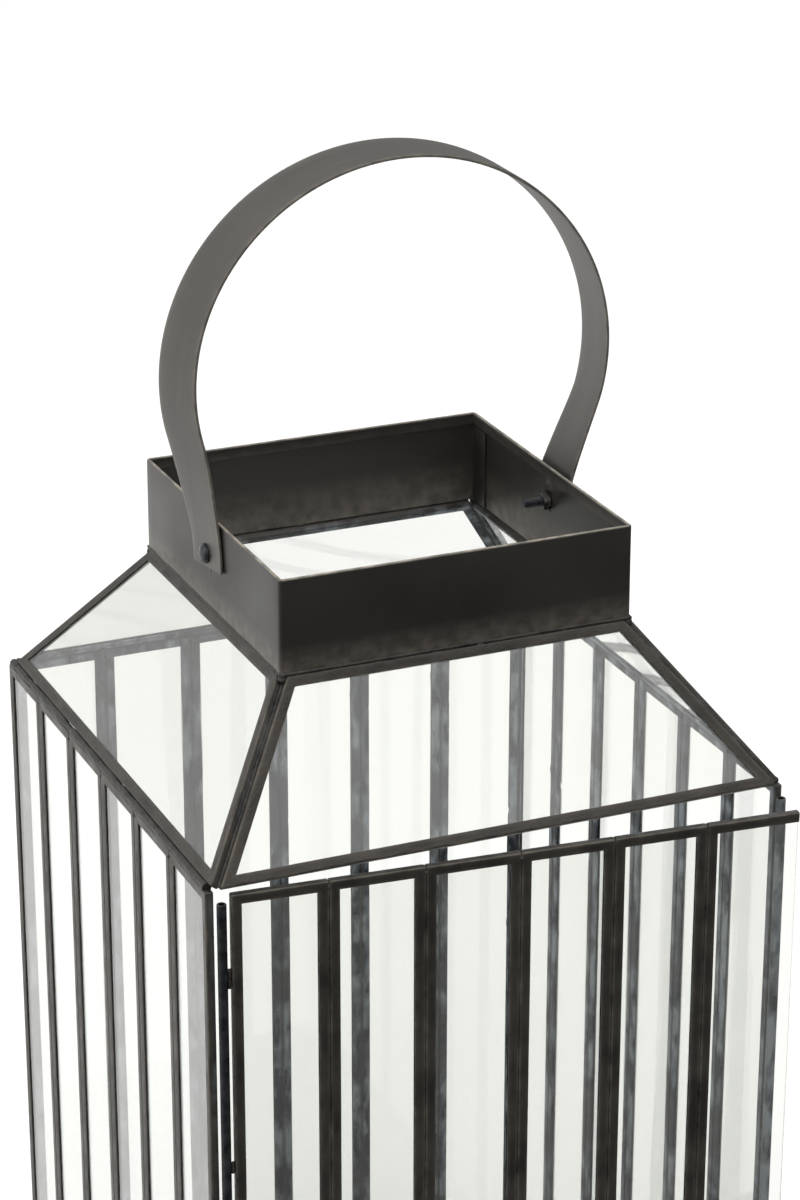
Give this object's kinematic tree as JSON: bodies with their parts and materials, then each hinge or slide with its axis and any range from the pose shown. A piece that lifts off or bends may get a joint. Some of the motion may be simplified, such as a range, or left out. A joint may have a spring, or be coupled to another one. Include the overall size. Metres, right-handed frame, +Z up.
{
  "type": "candle lantern",
  "caption": "Square glazed steel candle lantern with framed glass strips, hipped glass roof, open sheet collar, swinging strap handle and hinged door.",
  "frame": {"origin": "middle of the underside of the base, on the surface that the lantern stands on", "axes": "+Z up, +X to the right and -Y out through the door, seen from the door side"},
  "size_m": [0.2566, 0.2733, 0.6223],
  "materials": {
    "blackened_sheet": "blackened sheet steel, satin, fine vertical brushing",
    "blackened_came": "blackened steel channel, satin, edges rubbed lighter, solder at the joints",
    "strap_steel": "antiqued steel strap, brushed along its length",
    "dark_hardware": "blued steel, semi-gloss",
    "clear_glass": "clear 2 mm sheet glass"
  },
  "bodies": {
    "lantern": {"back_wall_frame": "blackened_came", "back_wall_glass_1": "clear_glass", "back_wall_glass_2": "clear_glass", "back_wall_glass_3": "clear_glass", "back_wall_glass_4": "clear_glass", "back_wall_glass_5": "clear_glass", "back_wall_glass_6": "clear_glass", "base_tray": "blackened_sheet", "collar": "blackened_sheet", "handle_bolt_left": "dark_hardware", "handle_bolt_right": "dark_hardware", "handle_nut_left": "dark_hardware", "handle_nut_right": "dark_hardware", "hinge_knuckle": "dark_hardware", "hinge_wire": "dark_hardware", "jamb_tube": "dark_hardware", "left_wall_frame": "blackened_came", "left_wall_glass_1": "clear_glass", "left_wall_glass_2": "clear_glass", "left_wall_glass_3": "clear_glass", "left_wall_glass_4": "clear_glass", "left_wall_glass_5": "clear_glass", "left_wall_glass_6": "clear_glass", "right_wall_frame": "blackened_came", "right_wall_glass_1": "clear_glass", "right_wall_glass_2": "clear_glass", "right_wall_glass_3": "clear_glass", "right_wall_glass_4": "clear_glass", "right_wall_glass_5": "clear_glass", "right_wall_glass_6": "clear_glass", "roof_back_frame": "blackened_came", "roof_back_glass": "clear_glass", "roof_front_frame": "blackened_came", "roof_front_glass": "clear_glass", "roof_left_frame": "blackened_came", "roof_left_glass": "clear_glass", "roof_right_frame": "blackened_came", "roof_right_glass": "clear_glass"},
    "door": {"door_frame": "blackened_came", "door_glass_1": "clear_glass", "door_glass_2": "clear_glass", "door_glass_3": "clear_glass", "door_glass_4": "clear_glass", "door_glass_5": "clear_glass", "door_glass_6": "clear_glass", "hinge_barrel_lower": "dark_hardware", "hinge_barrel_upper": "dark_hardware"},
    "handle": {"handle_strap": "strap_steel"},
    "latch": {"latch_wire": "dark_hardware"}
  },
  "joints": [
    {"name": "door_hinge", "type": "hinge", "parent": "lantern", "child": "door", "pos_m": [-0.1211, -0.1233, 0.19], "axis": [0, 0, -1], "range_deg": [-5, 175]},
    {"name": "handle_swing", "type": "hinge", "parent": "lantern", "child": "handle", "pos_m": [0, 0, 0.46577], "axis": [1, 0, 0], "range_deg": [-94, 108]},
    {"name": "latch_swing", "type": "hinge", "parent": "lantern", "child": "latch", "pos_m": [0.1252, -0.1236, 0.0056], "axis": [0, 0, -1], "range_deg": [-15, 90]}
  ]
}
